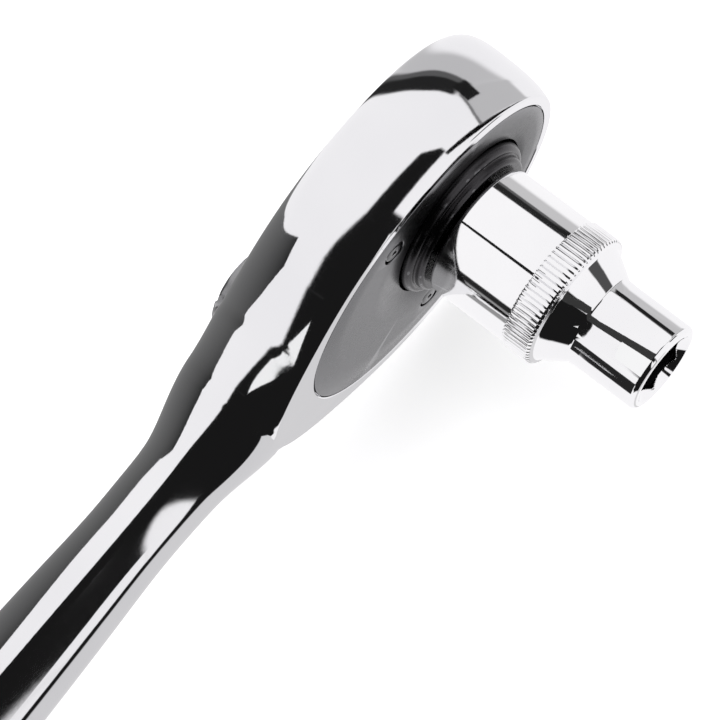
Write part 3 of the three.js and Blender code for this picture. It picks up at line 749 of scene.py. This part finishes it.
def metal(name, dark, light, rough, grain, grain_stretch, bump, patch, metallic=1.0, edge=None, hollow=None,
          collar_shade_reach=None):
    """A finish whose colour and roughness drift in patches, with a fine stretched grain.

    `edge` colours worn edges, `hollow` colours the faces inside a hollow piece, and the last of them is how
    far from
    the axis a painted shade reaches: a dark bloom round the drive collar, standing for the shade and mirror
    image of the collar and socket."""
    n = Surface(name)
    n.set(Metallic=metallic)
    drift = n.noise(patch, 3.0)
    fine = n.noise(grain, 5.0, 0.6, n.stretched(grain_stretch))
    color = n.blend(n.spread(drift, 0, 1), dark, light)
    if edge:
        color = n.blend(n.worn_edges(), color, edge)
    mixed = n.math("ADD", n.math("MULTIPLY", drift, 0.5), n.math("MULTIPLY", fine, 0.5))
    roughness = n.spread(mixed, rough[0], rough[1])
    # Painted shade: darkens the faces near the axis, round the drive collar
    if collar_shade_reach:
        near = n.math("ADD", n.from_axis()[0], n.math("MULTIPLY", drift, 0.003))
        color = n.blend(n.spread(near, 1, 0, *collar_shade_reach), color, COLLAR_SHADE)
    if hollow:
        axes = n.add("ShaderNodeSeparateXYZ")
        n.link(n.place, axes.inputs["Vector"])
        inside = n.math("MULTIPLY", n.from_axis()[1], n.math("LESS_THAN", axes.outputs["Y"], MOUTH_Y * MM))
        color = n.blend(inside, color, hollow)
        roughness = n.math("MAXIMUM", roughness, n.math("MULTIPLY", inside, 0.32))
    n.link(color, n.shader.inputs["Base Color"])
    n.link(roughness, n.shader.inputs["Roughness"])
    n.bump(fine, bump)
    return n.material


EVEN = (1, 1, 1)
DRAWN = (1, 6, 1)
# name: dark and light colour, roughness from and to, grain, its stretch, bump in metres, patches, extras
FINISHES = {
    "chrome_forging": ((0.82, 0.82, 0.835), (0.87, 0.87, 0.88), (0.03, 0.07), 900.0, (1, 4, 4), 1.2e-6, 25.0,
                       {}),
    "chrome_socket": ((0.89, 0.89, 0.90), (0.94, 0.94, 0.945), (0.03, 0.065), 1100.0, (4, 1, 4), 1.0e-6, 40.0,
                      {"hollow": (0.05, 0.05, 0.056)}),
    # The satin plate's last extra paints shade round the drive collar
    "satin_plate": ((0.15, 0.15, 0.155), (0.19, 0.19, 0.197), (0.24, 0.34), 1600.0, EVEN, 4e-6, 60.0,
                    {"edge": (0.36, 0.36, 0.37), "collar_shade_reach": (0.0150, 0.0215)}),
    "dark_steel": ((0.030, 0.028, 0.031), (0.052, 0.050, 0.053), (0.20, 0.32), 1300.0, EVEN, 1.5e-6, 80.0,
                   {"edge": (0.13, 0.13, 0.135)}),
    "bright_steel": ((0.50, 0.50, 0.515), (0.62, 0.62, 0.63), (0.12, 0.26), 1500.0, DRAWN, 3e-6, 90.0,
                     {"edge": (0.78, 0.78, 0.79)}),
    "screw_steel": ((0.16, 0.16, 0.165), (0.24, 0.24, 0.245), (0.22, 0.34), 1500.0, EVEN, 3e-6, 90.0,
                    {"edge": (0.30, 0.30, 0.305)}),
    "lever_steel": ((0.20, 0.20, 0.205), (0.27, 0.27, 0.275), (0.22, 0.34), 1500.0, DRAWN, 3e-6, 90.0,
                    {"edge": (0.46, 0.46, 0.465)}),
    "spring_steel": ((0.30, 0.295, 0.28), (0.44, 0.43, 0.42), (0.22, 0.38), 1800.0, EVEN, 4e-6, 40.0, {}),
    "bronze": ((0.42, 0.26, 0.11), (0.56, 0.37, 0.17), (0.28, 0.45), 1500.0, EVEN, 5e-6, 40.0, {}),
    "black_rubber": ((0.010, 0.010, 0.011), (0.024, 0.024, 0.026), (0.60, 0.82), 2200.0, EVEN, 1e-5, 40.0,
                     {"metallic": 0.0}),
}
MATERIALS = {name: metal(name, *values, **extras) for name, (*values, extras) in FINISHES.items()}

CAD_SLOTS = {
    "thrust_washer": "bronze", "pawl_pin": "bright_steel", "pawl": "dark_steel", "drive_seal": "black_rubber",
    "release_spring": "spring_steel", "selector_plunger": "bright_steel", "selector_spring": "spring_steel",
    "selector_clip": "spring_steel", "selector_seal": "black_rubber",
}


def dress(obj, slot):
    obj.data.materials.clear()
    obj.data.materials.append(MATERIALS[slot])


OWN_FINISH = {"screw_upper": "screw_steel", "screw_lower": "screw_steel", "lever": "lever_steel"}
for name, piece in pieces.items():
    dress(piece, OWN_FINISH.get(name, piece["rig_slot"]))
for node, slot in CAD_SLOTS.items():
    dress(frame["nodes"][node], slot)


# ---- camera, floor and light -------------------------------------------------------------------

def camera():
    data = bpy.data.cameras.new("camera")
    data.lens, data.sensor_width = 200.0, 36.0
    data.clip_start, data.clip_end = 0.01, 30.0
    obj = bpy.data.objects.new("camera", data)
    scene.collection.objects.link(obj)
    right = Vector((-0.61879, 0.76305, -0.18671))
    up = Vector((-0.78467, -0.58907, 0.19312))
    back = Vector((0.03738, 0.26601, 0.96325))
    turned = Matrix((right, up, back)).transposed().to_4x4()
    obj.matrix_world = Matrix.Translation(Vector((49.226, 184.971, 583.612)) * MM) @ turned
    scene.camera = obj


WHITE = (1, 1, 1, 1)


def floor():
    """A pale sheet that the head's side and the handle's end both rest on, level beyond them."""
    reach, low, high = 4000.0, -24.06, -11.05
    level = [(-reach, low - 1), (-200, low - 1), (-60, low - 0.8), (-20, low - 0.4), (7, low), (214, high),
             (240, high + 0.5), (270, high + 0.6), (reach, high + 0.6)]
    xs, zs = zip(*level)
    fine = np.unique(np.r_[xs, -600, 330, 700, np.linspace(-80, 340, 106)])
    ys = np.r_[-reach, np.linspace(-700, 700, 15), reach]
    verts = [(x, y, float(np.interp(x, xs, zs))) for x in fine for y in ys]
    n = len(ys)
    faces = [(i * n + j, (i + 1) * n + j, (i + 1) * n + j + 1, i * n + j + 1)
             for i in range(len(fine) - 1) for j in range(n - 1)]
    mesh = bpy.data.meshes.new("floor")
    mesh.from_pydata([(x * MM, y * MM, z * MM) for x, y, z in verts], [], faces)
    mesh.shade_smooth()
    obj = bpy.data.objects.new("floor", mesh)
    scene.collection.objects.link(obj)
    n = Surface("floor")
    n.link(n.blend(n.noise(6.0, 3.0), (0.90, 0.90, 0.905), (0.93, 0.93, 0.93)), n.shader.inputs["Base Color"])
    n.set(Roughness=0.85, Emission_Color=WHITE, Emission_Strength=0.5)
    mesh.materials.append(n.material)
    obj.visible_glossy = False


# The studio that the chrome mirrors, painted on the disc of all directions seen along -Z: the centre is
# straight up, and a radius of 0.707 is the horizon. Each patch is its light, the softness of its edge and
# a convex outline, counter-clockwise, and covers the patches before it.
TENT, BOX, SLIT = 1.0, 0.99, 0.97
BLACK, FLAG = 0.01, 0.02
EDGE = 0.008
STUDIO = [
    # the wall past the left flags, the sheet's far end, and the dark end of the room
    (0.58, 0.04, [(-0.84, -0.12), (-0.78, -0.25), (-0.645, -0.485), (-0.40, -0.88), (-0.25, -0.93),
                  (-0.58, -0.12)]),
    (0.71, 0.01, [(-0.2, 0.80), (0.6, 0.80), (0.6, 1.2), (-0.2, 1.2)]),
    (BLACK, 0.012, [(-0.03, 0.05), (0.70, 0.05), (0.70, 0.36), (0.60, 0.55), (0.42, 0.78), (0.26, 0.80),
                    (-0.04, 0.80), (-0.04, 0.3)]),
    # the large softbox
    (BOX, EDGE, [(-0.575, -0.11), (-0.194, -0.93), (-0.10, -0.93), (0.139, -0.667), (0.31, -0.42),
                 (0.31, 0.0), (-0.56, 0.03)]),
    (BOX, EDGE, [(-0.565, 0.0), (-0.26, -0.03), (-0.34, 0.09), (-0.38, 0.14), (-0.545, 0.14)]),
    (BOX, EDGE, [(0.25, -0.55), (0.45, -0.50), (0.55, -0.30), (0.60, -0.03), (0.25, -0.03)]),
    # the dark strip above it, and its thin tail
    (BLACK, EDGE, [(-0.347, 0.12), (-0.347, 0.07), (-0.278, -0.028), (-0.04, -0.042), (0.05, -0.047),
                   (0.05, 0.144)]),
    (BLACK, EDGE, [(0.04, -0.047), (0.20, -0.085), (0.272, -0.088), (0.272, 0.25), (0.11, 0.25),
                   (0.04, 0.144)]),
    (BLACK, EDGE, [(0.26, -0.088), (0.389, -0.086), (0.389, 0.25), (0.26, 0.25)]),
    (BLACK, EDGE, [(0.38, -0.09), (0.62, -0.07), (0.62, 0.25), (0.38, 0.25)]),
    (0.002, 0.004, [(-0.88, 0.15), (-0.34, 0.125), (-0.34, 0.155), (-0.60, 0.19), (-0.80, 0.20)]),
    # slits of light
    (SLIT, EDGE, [(0.047, 0.27), (0.107, 0.69), (0.07, 0.735), (0.03, 0.74), (0.03, 0.45)]),
    (SLIT, EDGE, [(-0.02, 0.58), (0.035, 0.60), (0.035, 0.735), (-0.02, 0.74)]),
    # flags on the left, and the grey wall between them
    (0.11, EDGE, [(-0.667, -0.145), (-0.583, -0.333), (-0.25, -0.93), (-0.194, -0.93), (-0.486, -0.25),
                  (-0.56, -0.14)]),
    (FLAG, EDGE, [(-0.635, -0.145), (-0.54, -0.34), (-0.23, -0.93), (-0.194, -0.93), (-0.486, -0.25),
                  (-0.56, -0.14)]),
    (0.56, 0.014, [(-0.86, 0.13), (-0.83, -0.14), (-0.583, -0.145), (-0.55, 0.05), (-0.545, 0.14)]),
    (0.2, 0.004, [(-0.592, -0.13), (-0.58, -0.13), (-0.54, 0.14), (-0.556, 0.14)]),
    (0.015, 0.005, [(-0.66, -0.17), (-0.588, -0.165), (-0.588, -0.085), (-0.66, -0.09)]),
    (0.08, 0.012, [(-0.62, 0.28), (-0.44, 0.28), (-0.43, 0.48), (-0.60, 0.48)]),
    # flags on the right, and the grey wall past them
    (0.3, EDGE, [(0.655, -0.40), (0.78, -0.40), (0.78, -0.18), (0.655, -0.155)]),
    (FLAG, EDGE, [(0.595, -0.30), (0.66, -0.32), (0.66, -0.13), (0.595, -0.13)]),
    (FLAG, 0.006, [(0.595, -0.145), (0.79, -0.185), (0.79, -0.05), (0.595, -0.05)]),
]


def on_disc(n):
    """The direction a ray leaves in, as (across, along, 1) on the studio's disc."""
    axes = n.add("ShaderNodeSeparateXYZ")
    n.link(n.add("ShaderNodeTexCoord").outputs["Generated"], axes.inputs["Vector"])
    height = n.math("MAXIMUM", n.math("MULTIPLY", n.math("ADD", axes.outputs["Z"], 1.0), 2.0), 1e-4)
    root = n.math("SQRT", height, 0.0)
    spot = n.add("ShaderNodeCombineXYZ")
    n.link(n.math("DIVIDE", axes.outputs["X"], root), spot.inputs["X"])
    n.link(n.math("DIVIDE", axes.outputs["Y"], root), spot.inputs["Y"])
    spot.inputs["Z"].default_value = 1.0
    return spot.outputs["Vector"]


def inside_of(n, spot, outline, soft):
    """1 inside a convex outline on the disc, 0 outside it."""
    share = None
    for (u0, v0), (u1, v1) in zip(outline, outline[1:] + outline[:1]):
        length = float(np.hypot(u1 - u0, v1 - v0))
        across, along = -(v1 - v0) / length, (u1 - u0) / length
        depth = n.vector_math("DOT_PRODUCT", spot, (across, along, -(across * u0 + along * v0)))
        ramp = n.add("ShaderNodeMapRange", interpolation_type="SMOOTHSTEP")
        ramp.inputs["From Min"].default_value, ramp.inputs["From Max"].default_value = -soft, soft
        n.link(depth.outputs["Value"], ramp.inputs["Value"])
        part = ramp.outputs["Result"]
        share = part if share is None else n.math("MULTIPLY", share, part)
    return share


def studio():
    """A white tent with softboxes and flags in the chrome, and a plain pale backdrop."""
    scene.world = bpy.data.worlds.new("studio")
    scene.world.use_nodes = True
    n = Nodes(scene.world.node_tree)
    n.tree.nodes.clear()
    spot = on_disc(n)
    light = None
    for value, soft, outline in STUDIO:
        mix = n.add("ShaderNodeMix", data_type="FLOAT")
        n.link(inside_of(n, spot, outline, soft), mix.inputs["Factor"])
        if light is None:
            mix.inputs["A"].default_value = TENT
        else:
            n.link(light, mix.inputs["A"])
        mix.inputs["B"].default_value = value
        light = mix.outputs["Result"]
    tint = n.add("ShaderNodeVectorMath", operation="SCALE")
    tint.inputs[0].default_value = (1.0, 0.99, 1.004)
    n.link(light, tint.inputs["Scale"])
    tent, backdrop = n.add("ShaderNodeBackground"), n.add("ShaderNodeBackground")
    n.link(tint.outputs["Vector"], tent.inputs["Color"])
    backdrop.inputs["Color"].default_value = (0.98, 0.98, 0.985, 1)
    seen = n.add("ShaderNodeMixShader")
    n.link(n.add("ShaderNodeLightPath").outputs["Is Camera Ray"], seen.inputs["Fac"])
    n.link(tent.outputs["Background"], seen.inputs[1])
    n.link(backdrop.outputs["Background"], seen.inputs[2])
    n.link(seen.outputs["Shader"], n.add("ShaderNodeOutputWorld").inputs["Surface"])


def card(name, corners, *lights):
    """A card near the wrench, with its corners in the part's frame, seen only in its mirror images: evenly
    lit, or from one light at the low end to another at the high end."""
    mesh = bpy.data.meshes.new(name)
    places = [tuple(v * MM for v in corner) for corner in corners]
    mesh.from_pydata(places, [], [tuple(range(len(corners)))])
    obj = bpy.data.objects.new(name, mesh)
    scene.collection.objects.link(obj)
    n = Surface(name)
    n.set(Base_Color=(0, 0, 0, 1), Roughness=1.0, Specular_IOR_Level=0.0, Emission_Color=WHITE,
          Emission_Strength=lights[0])
    if len(lights) > 1:
        heights = [height for _, _, height in places]
        axes = n.add("ShaderNodeSeparateXYZ")
        n.link(n.place, axes.inputs["Vector"])
        shade = n.spread(axes.outputs["Z"], *lights, min(heights), max(heights))
        n.link(shade, n.shader.inputs["Emission Strength"])
    mesh.materials.append(n.material)
    obj.visible_camera = obj.visible_diffuse = obj.visible_shadow = obj.visible_transmission = False


def lamp(name, at, toward, size, watts):
    """A soft area light that the chrome doesn't mirror."""
    data = bpy.data.lights.new(name, "AREA")
    data.shape, data.size, data.size_y, data.energy = "RECTANGLE", size, size, watts
    obj = bpy.data.objects.new(name, data)
    scene.collection.objects.link(obj)
    obj.location = Vector(at) * MM
    obj.rotation_euler = (Vector(at) - Vector(toward)).to_track_quat("Z", "Y").to_euler()
    obj.visible_glossy = False


camera()
floor()
GREY_OUTLINE = [(-20, -220), (70, -220), (125, -100), (177, 100), (170, 160), (103, 150), (70, 80), (33, 0),
                (0, -104)]
card("grey_card", [(x, -98, z) for x, z in GREY_OUTLINE], 0.3, 0.02)
card("line_flag", [(1.95, 23.5, 16), (2.6, 23.5, 16), (2.5, 39, 16), (1.6, 39, 16)], 0.01)
card("strip_flag", [(1.6, 48.5, 16), (4.7, 48.5, 16), (1.7, 61, 16), (-2.9, 61, 16)], 0.04)
card("fill_card", [(1.8, 55, 11), (9, 55, 11), (9, 61.6, 11), (0.9, 61.6, 11)], 1.0)
card("small_lamp", [(201, 3, 106), (206, 50, 93), (186, 36, 133)], 1.0)
studio()
lamp("key", (-300, -500, 900), (40, 0, 0), 0.6, 6)
lamp("fill", (500, 700, 700), (40, 0, 0), 0.8, 4)
scene.view_settings.view_transform = "Standard"
